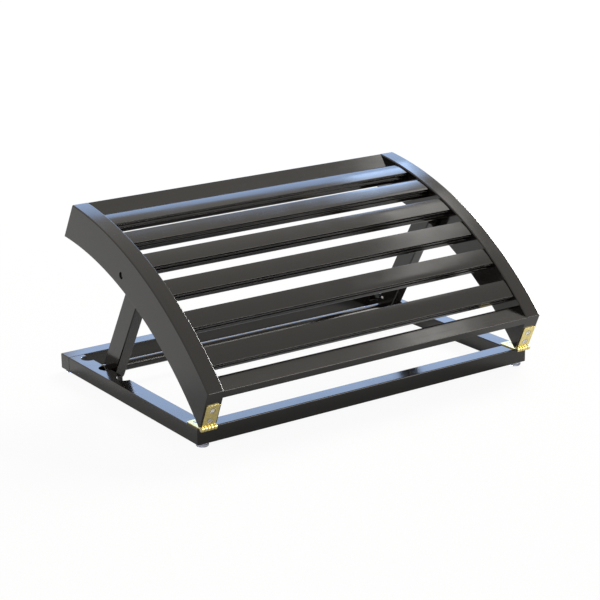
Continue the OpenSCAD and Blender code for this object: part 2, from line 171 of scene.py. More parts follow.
def makeGrainGroup():
    # long fibres, glued strips with fine joints and a slow cloudiness, read from the length of the stock
    tree, given, result = newTree(
        "bambooGrain", "ShaderNodeTree",
        {"Fibre Scale": bambooGrain["fibreScale"], "Strip Width": bambooGrain["stripWidth"],
         "Cloud Scale": bambooGrain["cloudScale"]},
        ("Fibre", "Strip", "Cloud", "Joint"))
    stock = newNode(tree, "ShaderNodeAttribute", attribute_name="stock").outputs["Vector"]
    lot = newNode(tree, "ShaderNodeAttribute", attribute_name="lot").outputs["Fac"]
    shift = {axis: product(tree, lot, step) for axis, step in bambooGrain["lotStep"].items()}
    place = vectorCalc(tree, "ADD", stock, joinXYZ(tree, **shift))
    stretched = vectorCalc(tree, "MULTIPLY", place, bambooGrain["fibreStretch"])
    across = newNode(tree, "ShaderNodeSeparateXYZ", {0: place}).outputs["Z"]
    strips = calc(tree, "DIVIDE", across, given["Strip Width"])
    whole = calc(tree, "FLOOR", strips)
    strip = newNode(tree, "ShaderNodeTexWhiteNoise", {"W": whole}, noise_dimensions="1D")
    fromMiddle = calc(tree, "ABSOLUTE", calc(tree, "SUBTRACT", calc(tree, "FRACT", strips), 0.5))
    joint = spread(tree, fromMiddle, 0.0, 1.0, bambooGrain["jointStart"], 0.5, "SMOOTHSTEP")
    feed(tree, result["Fibre"], noise(tree, stretched, given["Fibre Scale"], bambooGrain["fibreDetail"],
                                      bambooGrain["fibreRoughness"]))
    feed(tree, result["Strip"], strip.outputs["Value"])
    feed(tree, result["Cloud"], noise(tree, place, given["Cloud Scale"], bambooGrain["cloudDetail"]))
    feed(tree, result["Joint"], joint)
    return tree


handlingMarks = {
    "speckScale": 900.0,
    "speckDetail": 3.0,
    "speckRange": (0.62, 0.74),
    "rubScale": 60.0,
    "rubDetail": 6.0,
    "rubRoughness": 0.7,
}


def makeHandlingGroup():
    # fine specks and faint rubbed marks that a lacquered or metal surface picks up
    tree, given, result = newTree(
        "handlingMarks", "ShaderNodeTree",
        {"Speck Scale": handlingMarks["speckScale"], "Rub Scale": handlingMarks["rubScale"]},
        ("Specks", "Rub"))
    where = newNode(tree, "ShaderNodeTexCoord").outputs["Object"]
    speck = noise(tree, where, given["Speck Scale"], handlingMarks["speckDetail"])
    feed(tree, result["Specks"], spread(tree, speck, 0.0, 1.0, *handlingMarks["speckRange"]))
    feed(tree, result["Rub"], noise(tree, where, given["Rub Scale"], handlingMarks["rubDetail"],
                                    handlingMarks["rubRoughness"]))
    return tree


grainGroup = makeGrainGroup()
handlingGroup = makeHandlingGroup()


# Materials

def newMaterial(name):
    material = bpy.data.materials.new(name)
    material.use_nodes = True
    return material, material.node_tree


def placeGroup(tree, group, feeds=None):
    return newNode(tree, "ShaderNodeGroup", feeds, node_tree=group).outputs


def setSurface(material, feeds):
    shader = material.node_tree.nodes["Principled BSDF"]
    for name, value in feeds.items():
        feed(material.node_tree, shader.inputs[name], value)
    return material


noiseRange = (0.3, 0.7)  # the part of a noise's values that is spread over a whole tone

lacquer = {
    "dark": (0.0036, 0.0028, 0.0023),
    "light": (0.0130, 0.0096, 0.0072),
    "fibreTone": 0.55,
    "stripTone": 0.35,
    "seamTone": 0.7,
    "roughLow": 0.10,
    "roughHigh": 0.18,
    "speckRough": 0.10,
    "seamRough": 0.08,
    "fibreHeight": 0.6,
    "seamDepth": 0.5,
    "rubHeight": 0.35,
    "grainBump": 0.09,
    "bumpDistance": 0.0002,
    "ior": 1.5,
    "dowelFibreScale": 700.0,
}


def makeLacquer(name, fibreScale=bambooGrain["fibreScale"]):
    # thin espresso lacquer: the bamboo's strips and fibres still show through it
    material, tree = newMaterial(name)
    grain = placeGroup(tree, grainGroup, {"Fibre Scale": fibreScale})
    marks = placeGroup(tree, handlingGroup)

    def share(mask, amount):
        return product(tree, mask, lacquer[amount])

    fibre = spread(tree, grain["Fibre"], 0.0, lacquer["fibreTone"], *noiseRange)
    stain = calc(tree, "ADD", fibre, share(grain["Strip"], "stripTone"), clamp=True)
    colour = mixColour(tree, stain, lacquer["dark"], lacquer["light"])
    rough = spread(tree, grain["Cloud"], lacquer["roughLow"], lacquer["roughHigh"], *noiseRange)
    rough = total(tree, rough, share(marks["Specks"], "speckRough"))
    height = calc(tree, "SUBTRACT", share(grain["Fibre"], "fibreHeight"), share(grain["Joint"], "seamDepth"))
    height = total(tree, height, share(marks["Rub"], "rubHeight"))
    return setSurface(material, {
        "Base Color": mixColour(tree, share(grain["Joint"], "seamTone"), colour, lacquer["dark"]),
        "Roughness": total(tree, rough, share(grain["Joint"], "seamRough")),
        "Normal": relief(tree, height, lacquer["grainBump"], lacquer["bumpDistance"]),
        "IOR": lacquer["ior"],
    })


bareBamboo = {
    "dark": (0.50, 0.33, 0.15),
    "light": (0.70, 0.52, 0.28),
    "fibreScale": 900.0,
    "roughLow": 0.5,
    "roughHigh": 0.7,
}


def makeBareBamboo():
    material, tree = newMaterial("bareBamboo")
    grain = placeGroup(tree, grainGroup, {"Fibre Scale": bareBamboo["fibreScale"]})
    fibre = spread(tree, grain["Fibre"], 0.0, 1.0, *noiseRange)
    return setSurface(material, {
        "Base Color": mixColour(tree, fibre, bareBamboo["dark"], bareBamboo["light"]),
        "Roughness": spread(tree, grain["Cloud"], bareBamboo["roughLow"], bareBamboo["roughHigh"]),
    })


brass = {
    "clean": (0.80, 0.68, 0.30),
    "tarnished": (0.52, 0.42, 0.15),
    "roughLow": 0.18,
    "roughHigh": 0.32,
    "brushStretch": (1.0, 0.06, 0.06),
    "brushScale": 2600.0,
    "brushDetail": 3.0,
    "brushBump": 0.12,
    "bumpDistance": 0.0001,
    "rubScale": 260.0,
    "tarnishRange": (0.35, 0.75),
    "tarnishRough": 0.10,
}


def makeBrass():
    # plated strip in a yellow brass tone, rolled and lightly brushed along the leaf
    material, tree = newMaterial("hingeBrass")
    where = newNode(tree, "ShaderNodeTexCoord").outputs["Object"]
    along = vectorCalc(tree, "MULTIPLY", where, brass["brushStretch"])
    lines = noise(tree, along, brass["brushScale"], brass["brushDetail"])
    marks = placeGroup(tree, handlingGroup, {"Rub Scale": brass["rubScale"]})
    tarnish = spread(tree, marks["Rub"], 0.0, 1.0, *brass["tarnishRange"])
    rough = spread(tree, lines, brass["roughLow"], brass["roughHigh"])
    return setSurface(material, {
        "Base Color": mixColour(tree, tarnish, brass["clean"], brass["tarnished"]),
        "Roughness": total(tree, rough, product(tree, tarnish, brass["tarnishRough"])),
        "Normal": relief(tree, lines, brass["brushBump"], brass["bumpDistance"]),
        "Metallic": 1.0,
    })


screwSteel = {"bright": (0.84, 0.83, 0.80), "dull": (0.60, 0.59, 0.57), "roughLow": 0.16, "roughHigh": 0.34}
spacerSteel = {"bright": (0.62, 0.62, 0.62), "dull": (0.42, 0.42, 0.42), "roughLow": 0.25, "roughHigh": 0.45}
steelMarks = {"rubScale": 420.0, "speckScale": 2400.0, "speckRough": 0.12}


def makeSteel(name, steel):
    material, tree = newMaterial(name)
    marks = placeGroup(tree, handlingGroup, {"Rub Scale": steelMarks["rubScale"],
                                             "Speck Scale": steelMarks["speckScale"]})
    rough = spread(tree, marks["Rub"], steel["roughHigh"], steel["roughLow"])
    return setSurface(material, {
        "Base Color": mixColour(tree, marks["Rub"], steel["dull"], steel["bright"]),
        "Roughness": total(tree, rough, product(tree, marks["Specks"], steelMarks["speckRough"])),
        "Metallic": 1.0,
    })


clearPlastic = {
    "rubbed": (0.56, 0.61, 0.80),
    "clear": (0.70, 0.75, 0.90),
    "roughLow": 0.06,
    "roughHigh": 0.20,
    "rubScale": 300.0,
    "transmission": 0.82,
    "ior": 1.46,
}


def makeClearPlastic():
    material, tree = newMaterial("clearBumper")
    rub = placeGroup(tree, handlingGroup, {"Rub Scale": clearPlastic["rubScale"]})["Rub"]
    return setSurface(material, {
        "Base Color": mixColour(tree, rub, clearPlastic["rubbed"], clearPlastic["clear"]),
        "Roughness": spread(tree, rub, clearPlastic["roughLow"], clearPlastic["roughHigh"]),
        "Transmission Weight": clearPlastic["transmission"],
        "IOR": clearPlastic["ior"],
    })


lacquerMaterial = makeLacquer("espressoLacquer")
slatMaterial = makeLacquer("espressoSlat")
dowelMaterial = makeLacquer("espressoDowel", lacquer["dowelFibreScale"])
bareMaterial = makeBareBamboo()
brassMaterial = makeBrass()
steelMaterial = makeSteel("screwSteel", screwSteel)
spacerMaterial = makeSteel("spacerSteel", spacerSteel)
bumperMaterial = makeClearPlastic()
print("materials made")


# Mesh helpers

def arcPoints(centre, radius, start, end, steps):
    angles = [start + (end - start) * i / steps for i in range(steps + 1)]
    return [(centre[0] + radius * cosD(a), centre[1] + radius * sinD(a)) for a in angles]


def softCorner(before, corner, after, steps=3):
    # rounded corner between two points that lie on its sides
    points = []
    for i in range(steps + 1):
        t = i / steps
        weights = ((1 - t) ** 2, 2 * t * (1 - t), t * t)
        points.append(tuple(sum(w * p[k] for w, p in zip(weights, (before, corner, after))) for k in (0, 1)))
    return points


def roundedEnd(radius, steps=5):
    # depth from the end of a piece and inset of its outline there, for a rounded end
    turns = [90 * i / steps for i in range(steps + 1)]
    return [(radius * (1 - cosD(a)), radius * (1 - sinD(a))) for a in turns]


def chamferedEnd(width, soft):
    # the same for a flat chamfer with softened edges
    s = soft * 0.7  # the softening's share along the slope
    return (softCorner((0, width + soft), (0, width), (s, width - s), 2)
            + softCorner((width - s, s), (width, 0), (width + soft, 0), 2))


def loft(rings):
    # closed solid through rings of (x, y, z) points, each with the same number of points
    bm = bmesh.new()
    made = [[bm.verts.new(point) for point in ring] for ring in rings]
    count = len(made[0])
    for a, b in zip(made, made[1:]):
        for i in range(count):
            j = (i + 1) % count
            bm.faces.new((a[i], a[j], b[j], b[i]))
    bm.faces.new(made[0][::-1])
    bm.faces.new(made[-1])
    bmesh.ops.recalc_face_normals(bm, faces=bm.faces)
    return bm


def barFromSection(section, x0, x1):
    return loft([[(x, y, z) for y, z in section] for x in (x0, x1)])


def turned(profile, axis="X", steps=64, closed=True):
    # solid of revolution from (distance, radius) points; open ends close on the axis, a loop makes a ring
    bm = bmesh.new()
    rings = []
    for distance, radius in profile:
        around = steps if radius else 1
        turns = [2 * math.pi * k / steps for k in range(around)]
        rings.append([bm.verts.new((distance, radius * math.cos(a), radius * math.sin(a))) for a in turns])
    pairs = list(zip(rings, rings[1:])) + ([] if closed else [(rings[-1], rings[0])])
    for a, b in pairs:
        for k in range(steps):
            n = (k + 1) % steps
            corners = [a[k % len(a)], a[n % len(a)], b[n % len(b)], b[k % len(b)]]
            corners = [v for i, v in enumerate(corners) if v not in corners[:i]]
            if len(corners) > 2:
                bm.faces.new(corners)
    if axis == "Z":
        upright = Matrix.Rotation(-math.pi / 2, 3, "Y")
        bmesh.ops.rotate(bm, verts=bm.verts, cent=(0, 0, 0), matrix=upright)
    bmesh.ops.recalc_face_normals(bm, faces=bm.faces)
    return bm


def barRims(x0, x1, r, soft, steps):
    # the two outer corners of a round bar, rounded where soft is given
    if not soft:
        return [(x0, r), (x1, r)]
    return (softCorner((x0, r - soft), (x0, r), (x0 + soft, r), steps)
            + softCorner((x1 - soft, r), (x1, r), (x1, r - soft), steps))


def rod(x0, x1, radius, soft=0.0, steps=48):
    return turned([(x0, 0)] + barRims(x0, x1, radius, soft, 5) + [(x1, 0)], steps=steps)


def ringBead(x0, x1, outer, bore, soft, steps=48):
    profile = [(x0, bore)] + barRims(x0, x1, outer, soft, 4) + [(x1, bore)]
    return turned(profile, steps=steps, closed=False)


def moved(bm, x=0.0, y=0.0, z=0.0, tilt=0.0, mirror=False):
    # tilt turns about X before the move; mirror gives the left hand of a right-hand piece
    if tilt:
        lean = Matrix.Rotation(math.radians(tilt), 3, "X")
        bmesh.ops.rotate(bm, verts=bm.verts, cent=(0, 0, 0), matrix=lean)
    bmesh.ops.translate(bm, verts=bm.verts, vec=(x, y, z))
    if mirror:
        for v in bm.verts:
            v.co.x = -v.co.x
        bmesh.ops.reverse_faces(bm, faces=bm.faces)
    return bm


def newObject(name, data):
    item = bpy.data.objects.new(name, data)
    scene.collection.objects.link(item)
    return item


def meshObject(name, bm):
    mesh = bpy.data.meshes.new(name)
    bm.to_mesh(mesh)
    bm.free()
    return newObject(name, mesh)


def alongX(co):
    return tuple(co)


def alongY(co):
    return (co.y, co.x, co.z)


def setStock(mesh, grainWay, lot):
    # "stock" gives each corner its place in the board that the piece was cut from, "lot" tells boards apart
    flat = []
    for v in mesh.vertices:
        flat.extend(grainWay(v.co))
    stock = mesh.attributes.new("stock", "FLOAT_VECTOR", "POINT")
    stock.data.foreach_set("vector", flat)
    lots = mesh.attributes.new("lot", "FLOAT", "POINT")
    lots.data.foreach_set("value", [lot] * len(mesh.vertices))


def keepFlats(piece):
    # large flat faces keep their shading up to the rounded edges
    tidyNormals = piece.modifiers.new("tidyNormals", "WEIGHTED_NORMAL")
    tidyNormals.keep_sharp = True
    tidyNormals.weight = 100


def makeObject(name, bm, material, grainWay=alongX, lot=0.0, sharpAngle=32.0, isStock=False):
    # stock for a node tree stays at the origin
    for v in bm.verts:
        v.co = v.co * mm if isStock else toFrame(*v.co)
    piece = meshObject(name, bm)
    piece.data.materials.append(material)
    piece.data.shade_smooth()
    piece.data.set_sharp_from_angle(angle=math.radians(sharpAngle))
    setStock(piece.data, grainWay, lot)
    if not isStock:
        keepFlats(piece)
    return piece


def evaluatedMesh(piece):
    bpy.context.view_layer.update()
    return bpy.data.meshes.new_from_object(piece.evaluated_get(bpy.context.evaluated_depsgraph_get()))


def combine(bm, tools, operation="DIFFERENCE"):
    # takes the tools' shapes out of a solid, or joins them to it
    body = meshObject("combined", bm)
    used = [body]
    for tool in tools:
        used.append(meshObject("tool", tool))
        step = body.modifiers.new("step", "BOOLEAN")
        step.operation = operation
        step.solver = "EXACT"
        step.object = used[-1]
    result = bmesh.new()
    result.from_mesh(evaluatedMesh(body))
    bmesh.ops.remove_doubles(result, verts=result.verts, dist=weldWithin)
    for item in used:
        bpy.data.objects.remove(item)
    return result


def newStockTree(name, place, *sizes):
    # tree that sets out copies of a stock object, with its place and its sizes as named inputs
    inputs = {"Stock": "Object", "Finish": "Material", "Count": "Int", "Seed": "Int", place: "Vector"}
    inputs.update({size: "Float" for size in sizes})
    return newTree(name, "GeometryNodeTree", inputs, ("Geometry",), "Geometry")


def grow(name, tree, wanted):
    # runs a Geometry Nodes tree on an empty mesh and keeps what it makes as one plain mesh
    piece = newObject(name, bpy.data.meshes.new(name))
    modifier = piece.modifiers.new(tree.name, "NODES")
    modifier.node_group = tree
    sockets = {item.name: item.identifier for item in tree.interface.items_tree if item.in_out == "INPUT"}
    for socketName, value in wanted.items():
        modifier[sockets[socketName]] = list(value) if isinstance(value, Vector) else value
    mesh = evaluatedMesh(piece)
    mesh.name = name
    piece.modifiers.clear()
    piece.data = mesh
    keepFlats(piece)
    return piece


def stockOnPoints(tree, given, position, euler):
    # the stock object on a number of points, turned by three angles
    line = newNode(tree, "GeometryNodeMeshLine", {"Count": given["Count"]}).outputs["Mesh"]
    points = outOf(tree, "GeometryNodeSetPosition", {"Geometry": line, "Position": position})
    stock = newNode(tree, "GeometryNodeObjectInfo", {"Object": given["Stock"]}).outputs["Geometry"]
    turn = outOf(tree, "FunctionNodeEulerToRotation", {0: euler})
    feeds = {"Points": points, "Instance": stock, "Rotation": turn}
    return outOf(tree, "GeometryNodeInstanceOnPoints", feeds)


def randomNumber(tree, given, highest):
    feeds = {"Max": highest, "Seed": given["Seed"]}
    pick = newNode(tree, "FunctionNodeRandomValue", feeds, data_type="FLOAT")
    return openSocket(pick.outputs, "Value")


def closeTree(tree, given, result, instances):
    solid = outOf(tree, "GeometryNodeRealizeInstances", {"Geometry": instances})
    feeds = {"Geometry": solid, "Material": given["Finish"]}
    feed(tree, result["Geometry"], outOf(tree, "GeometryNodeSetMaterial", feeds))
    return tree


def attach(piece, body, *nodes, finish="lacquered_bamboo"):
    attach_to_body(piece, body)
    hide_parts(*nodes)


# Base frame

base = {
    "width": 450,
    "depth": 304,
    "height": 18,
    "railThickness": 20,
    "crossRailWidth": 20,
    "edgeRound": 1.1,
    "jointRound": 0.06,  # where a joint is sanded flush
    "rearJointRound": 0.7,
    "endRound": 0.05,  # what is left of that rounding at the rail's very end
    "sideBlend": (-0.8, 0.4),  # from the joint, where an inner edge starts and ends its change of rounding
    "rearBlend": (0.4, -0.8),
    "pocketCentres": [184.5, 226.5, 268.5],
    "pocketWidth": 17,
    "pocketReach": 11,
    "pocketFloor": 9.2,
    "pocketRim": 0.5,
}
half = base["width"] / 2
inner = half - base["railThickness"]
sideEnd = base["depth"] - base["crossRailWidth"]


def railSection(u0, v0, u1, v1, insideRound, outsideRound, steps=4):
    # section with one rounding at its u0 corners and another at its u1 corners
    a, b = insideRound, outsideRound
    corners = ((u1 - b, v1 - b, b), (u0 + a, v1 - a, a), (u0 + a, v0 + a, a), (u1 - b, v0 + b, b))
    points = []
    for i, (u, v, r) in enumerate(corners):
        points += arcPoints((u, v), r, 90 * i, 90 * (i + 1), steps)
    return points


def pocketCutter(y):
    rim, floorZ = base["pocketRim"], base["pocketFloor"]
    levels = [(-rim, floorZ), (0, floorZ + rim)]
    levels += [(inset, base["height"] - depth) for depth, inset in reversed(roundedEnd(rim, 4))]
    levels += [(rim, base["height"] + cutPast)]
    tip, back = inner + base["pocketReach"] - base["pocketWidth"] / 2, inner - cutPast
    rings = []
    for wider, z in levels:
        r = base["pocketWidth"] / 2 + wider
        outline = [(back, y - r)] + arcPoints((tip, y), r, -90, 90, 28) + [(back, y + r)]
        rings.append([(px, py, z) for px, py in outline])
    return loft(rings)


def makeSideRail(name, leftHand, lot):
    r, joint, top, blend = base["edgeRound"], base["jointRound"], base["height"], base["sideBlend"]
    rearEnd = reversed(roundedEnd(base["rearJointRound"], 4))
    # a station has a place along the rail, an inset and the rounding of the inner edge
    stations = [(depth, inset, joint) for depth, inset in roundedEnd(r)]
    stations += [(base["crossRailWidth"] + shift, 0, inside) for shift, inside in zip(blend, (joint, r))]
    stations += [(sideEnd - depth, inset, r) for depth, inset in rearEnd]
    rings = []
    for y, inset, inside in stations:
        section = railSection(inner, inset, half - inset, top - inset, inside, max(r - inset, joint))
        rings.append([(x, y, z) for x, z in section])
    bm = combine(loft(rings), [pocketCutter(y) for y in base["pocketCentres"]])
    return makeObject(name, moved(bm, mirror=leftHand), lacquerMaterial, alongY, lot)


def makeFrontRail():
    r = base["edgeRound"]
    section = railSection(0, 0, base["crossRailWidth"], base["height"], r, r)
    return makeObject("frontBaseRail", barFromSection(section, -inner, inner), lacquerMaterial, lot=3.0)


def makeRearRail():
    r, joint, flush, blend = base["edgeRound"], base["rearJointRound"], base["jointRound"], base["rearBlend"]
    stations = [(half - depth, inset, joint * (1 - inset / r) + base["endRound"])
                for depth, inset in roundedEnd(r)]
    stations += [(inner + shift, 0, inside) for shift, inside in zip(blend, (joint, r))]
    halfRings = []
    for x, inset, inside in stations:
        front, back, top = sideEnd + inset * joint / r, base["depth"] - inset, base["height"] - inset
        halfRings.append((x, railSection(front, inset, back, top, inside, max(r - inset, flush))))
    rings = [[(-x, y, z) for y, z in section] for x, section in halfRings]
    rings += [[(x, y, z) for y, z in section] for x, section in reversed(halfRings)]
    return makeObject("rearBaseRail", loft(rings), lacquerMaterial, lot=4.0)


attach(makeSideRail("rightBaseRail", False, 1.0), "base", "base_right_rail")
attach(makeSideRail("leftBaseRail", True, 2.0), "base", "base_left_rail")
attach(makeFrontRail(), "base", "base_front_rail")
attach(makeRearRail(), "base", "base_rear_rail")

bumper = {"radius": 7, "height": 4.4, "flatRadius": 5.4, "topRim": 0.15, "sideInset": 10, "endInset": 7.5}


def makeBumper(name, x, y):
    h, r, flat, rim = bumper["height"], bumper["radius"], bumper["flatRadius"], bumper["topRim"]
    profile = [(0, 0), (0, r - rim), (-rim, r)]
    profile += [(-h + h / 2 * (1 - cosD(a)), flat + (r - flat) * sinD(a)) for a in range(90, -1, -9)]
    profile += [(-h, 0)]
    return makeObject(name, moved(turned(profile, "Z", 48), x, y, 0), bumperMaterial, sharpAngle=60)


for row, y in (("front", bumper["endInset"]), ("rear", base["depth"] - bumper["endInset"])):
    for side, sign in (("Left", -1), ("Right", 1)):
        foot = makeBumper(row + side + "Bumper", sign * (half - bumper["sideInset"]), y)
        attach(foot, "base", "foot_%s_%s" % (row, side.lower()), finish="clear_bumper")
print("base frame made")


# Platform: curved rails, built round the hinge pins

hinge = {
    "pinY": -5.6,
    "pinZ": 19.5,
    "leafOffset": 1.5,
    "leafThickness": 1.2,
    "leafSide": 1.3,
    "leafLength": 30.8,
    "leafCorner": 2,
    "leafEdge": 0.22,
    "middle": 215,
    "barrelLength": 19,
    "knuckles": 5,
    "knuckleRadius": 3,
    "knuckleGap": 0.3,
    "knuckleSoft": 0.85,
    "knuckleRoot": 0.9,  # from the bore to where the plate joins its own knuckles
    "bore": 1.14,
    "screwNear": 9.5,
    "screwFar": 23,
    "sinkRadius": 3.85,
    "sinkWall": 0.5,
    "sinkLand": 0.15,
    "sinkPast": 1,  # how far the countersink's cutter passes the plate
    "shankHole": 1.5,
    "reliefRadius": 3.5,
}

curve = {
    "outerRadius": 458.5,
    "boardWidth": 43.3,
    "rearTop": (256.1, 205.5),
    "frontCut": 46.7,
    "rearLean": 29.7,
    "frontLean": 23.4,
    "arris": 1.5,
    "edgeRound": 0.6,
    "jointRound": 0.05,
    "arcSteps": 110,
    "reliefSteps": 10,
    "tipStep": 0.002,  # degrees
}

pivot = {"along": 121, "depth": 28.6, "radius": 4, "recess": 1.5, "soft": 0.5, "pastLeg": 1,
         "tightFit": 0.03, "looseFit": 0.05}


def stepAlong(point, direction, distance):
    return (point[0] + direction[0] * distance, point[1] + direction[1] * distance)


def meetsArc(origin, direction, middle, radius, leaving=True):
    # point where a line leaves or enters a circle
    ox, oy = origin[0] - middle[0], origin[1] - middle[1]
    b = ox * direction[0] + oy * direction[1]
    reach = math.sqrt(b * b - (ox * ox + oy * oy - radius * radius))
    return stepAlong(origin, direction, -b + reach if leaving else -b - reach)


pin = (hinge["pinY"], hinge["pinZ"])
innerRadius = curve["outerRadius"] - curve["boardWidth"]
frontLean, rearLean = curve["frontLean"], curve["rearLean"]
cutUp, cutOut = (-sinD(frontLean), cosD(frontLean)), (-cosD(frontLean), -sinD(frontLean))
rearDown, rearOut = (sinD(rearLean), -cosD(rearLean)), (cosD(rearLean), sinD(rearLean))
frontTop = stepAlong(stepAlong(pin, cutOut, -hinge["leafOffset"]), cutUp, curve["frontCut"])
rearTop = curve["rearTop"]

# the curve is the arc of its radius from the front top edge to the rear one
chord = (rearTop[0] - frontTop[0], rearTop[1] - frontTop[1])
chordLength = math.hypot(*chord)
chordMiddle = ((rearTop[0] + frontTop[0]) / 2, (rearTop[1] + frontTop[1]) / 2)
rise = math.sqrt(curve["outerRadius"] ** 2 - chordLength ** 2 / 4)
centre = stepAlong(chordMiddle, (chord[1] / chordLength, -chord[0] / chordLength), rise)


def angleOf(point, middle=centre):
    return math.degrees(math.atan2(point[1] - middle[1], point[0] - middle[0]))


def curvePoint(radius, angle):
    return (centre[0] + radius * cosD(angle), centre[1] + radius * sinD(angle))


pivotAngle = angleOf(rearTop) + math.degrees(pivot["along"] / curve["outerRadius"])
pivotPoint = curvePoint(curve["outerRadius"] - pivot["depth"], pivotAngle)


def railOutline(topInset, edgeInset):
    # side view of a curved rail, with its top arc and its other edges drawn in
    top, low = curve["outerRadius"] - topInset, innerRadius + edgeInset
    soft, steps = curve["edgeRound"], curve["arcSteps"]
    cutFoot = stepAlong(pin, cutOut, -hinge["leafOffset"] - edgeInset)
    rearLine = stepAlong(rearTop, rearOut, -edgeInset)
    front = meetsArc(cutFoot, cutUp, centre, top)
    rear = meetsArc(rearLine, rearDown, centre, top, leaving=False)
    rearLow = meetsArc(rearLine, rearDown, centre, low, leaving=False)
    lead = math.degrees(soft / top)
    topStart, topEnd, lowStart = angleOf(front) - lead, angleOf(rear) + lead, angleOf(rearLow) + lead
    points = softCorner(stepAlong(front, cutUp, -soft), front, curvePoint(top, topStart))
    points += arcPoints(centre, top, topStart, topEnd, steps)[1:-1]
    points += softCorner(curvePoint(top, topEnd), rear, stepAlong(rear, rearDown, soft))
    points += softCorner(stepAlong(rearLow, rearDown, -soft), rearLow, curvePoint(low, lowStart))
    # the lower arc runs to the edge of the relief round the hinge barrel
    relieved, tip = hinge["reliefRadius"], lowStart
    while math.dist(curvePoint(low, tip), pin) > relieved:
        tip += curve["tipStep"]
    points += arcPoints(centre, low, lowStart, tip, steps)[1:]
    end = stepAlong(cutFoot, cutUp, math.sqrt(relieved ** 2 - (hinge["leafOffset"] + edgeInset) ** 2))
    turns = angleOf(curvePoint(low, tip), pin), angleOf(end, pin)
    return points + arcPoints(pin, relieved, *turns, curve["reliefSteps"])[1:]


def insetAt(depth, radius):
    return radius - math.sqrt(radius ** 2 - (radius - depth) ** 2) if depth < radius else 0.0


def alongCurve(co):
    y, z = sideView(co, centre)
    return (math.atan2(z, y) * innerRadius * mm, co.x, math.hypot(y, z) * mm)


def makeCurvedRail(name, leftHand, lot):
    # the inner face is sanded flush with the slats at both ends, so only its top edge is rounded there
    ends = roundedEnd(curve["arris"], 6)
    rings = [[(inner + depth, y, z) for y, z in railOutline(inset, insetAt(depth, curve["jointRound"]))]
             for depth, inset in ends]
    rings += [[(half - depth, y, z) for y, z in railOutline(inset, insetAt(depth, curve["edgeRound"]))]
              for depth, inset in reversed(ends)]
    hole = rod(inner - cutPast, half + cutPast, pivot["radius"] + pivot["tightFit"])
    bm = combine(loft(rings), [moved(hole, 0, *pivotPoint)])
    return makeObject(name, moved(bm, mirror=leftHand), lacquerMaterial, alongCurve, lot)


attach(makeCurvedRail("rightCurvedRail", False, 5.0), "platform", "right_side_rail")
attach(makeCurvedRail("leftCurvedRail", True, 6.0), "platform", "left_side_rail")
print("curved rails made")


# Platform: slats

slat = {
    "width": 23,
    "thickness": 13.2,
    "recess": 2,
    "crown": 0.5,
    "endDrop": 0.3,  # how far an end slat's top falls to its grooved edge
    "edgeRound": 0.45,
    "edgeStart": 98,  # degrees, where the crown runs into the rounding
    "lowerRound": 2.0,
    "corner": 0.9,
    "grooves": [(2.12, 1.75, 2.2), (6.3, 2.4, 2.8)],  # level below the top, width, depth
    "grooveLip": 0.25,
    "first": 46.2,  # along the curve from the rear edge to slat 2
    "last": 42.5,  # and from slat 7 to the front edge
    "growth": 0.62,  # half of what each spacing is wider than the one before
    "count": 6,
    "seed": 11,
    "lots": 40.0,  # the highest lot number that a slat can have
    "frontBevel": 4,
    "rearBevel": 1.5,
}
slatRadius = curve["outerRadius"] - slat["recess"]
slatRun = math.radians(angleOf(frontTop) - angleOf(rearTop)) * slatRadius - slat["first"] - slat["last"]
slatPitch = slatRun / (slat["count"] - 1) - slat["growth"] * (slat["count"] - 1)


def slatTop(steps=16):
    run = slat["width"] / 2 - slat["edgeRound"]
    places = [1 - 2 * i / steps for i in range(steps + 1)]
    return [(run * place, -slat["crown"] * place ** 2) for place in places]


def groovedEdge(drop):
    # upper rounding, two square grooves with eased lips, lower rounding, from top to bottom of the edge
    w, t = slat["width"] / 2, slat["thickness"]
    r, lip, low = slat["edgeRound"], slat["grooveLip"], slat["lowerRound"]
    points = arcPoints((-w + r, -drop - r), r, slat["edgeStart"], 180, 7)
    for level, width, depth in slat["grooves"]:
        upper, lower = -level + width / 2, -level - width / 2
        points += arcPoints((-w + lip, upper + lip), lip, 180, 270, 3)
        points += [(-w + depth, upper), (-w + depth, lower)]
        points += arcPoints((-w + lip, lower - lip), lip, 90, 180, 3)
    return points + arcPoints((-w + low, -t + low), low, 180, 270, 5)


def plainEdge(bevel):
    w, t, r = slat["width"] / 2, slat["thickness"], slat["corner"]
    return arcPoints((-w + r, -r), r, 90, 180, 4) + [(-w, -t + bevel), (-w + bevel, -t)]


def flipped(points):
    return [(-y, z) for y, z in reversed(points)]


def slatRowTree():
    # slats stand on an arc, their spacing grows with the square of their number, and each has its own lot
    tree, given, result = newStockTree("slatRow", "Curve Centre", "First", "Pitch", "Growth", "Top Radius",
                                       "Rear Angle")
    index = outOf(tree, "GeometryNodeInputIndex")
    growth = product(tree, product(tree, index, index), given["Growth"])
    run = total(tree, product(tree, index, given["Pitch"]), growth)
    run = total(tree, run, given["First"])
    turn = total(tree, calc(tree, "DIVIDE", run, given["Top Radius"]), given["Rear Angle"])
    y = product(tree, calc(tree, "COSINE", turn), given["Top Radius"])
    z = product(tree, calc(tree, "SINE", turn), given["Top Radius"])
    place = vectorCalc(tree, "ADD", joinXYZ(tree, Y=y, Z=z), given["Curve Centre"])
    euler = joinXYZ(tree, X=calc(tree, "SUBTRACT", turn, math.pi / 2))
    row = stockOnPoints(tree, given, place, euler)
    feeds = {"Geometry": row, "Name": "lot", "Value": randomNumber(tree, given, slat["lots"])}
    named = outOf(tree, "GeometryNodeStoreNamedAttribute", feeds, data_type="FLOAT", domain="INSTANCE")
    return closeTree(tree, given, result, named)


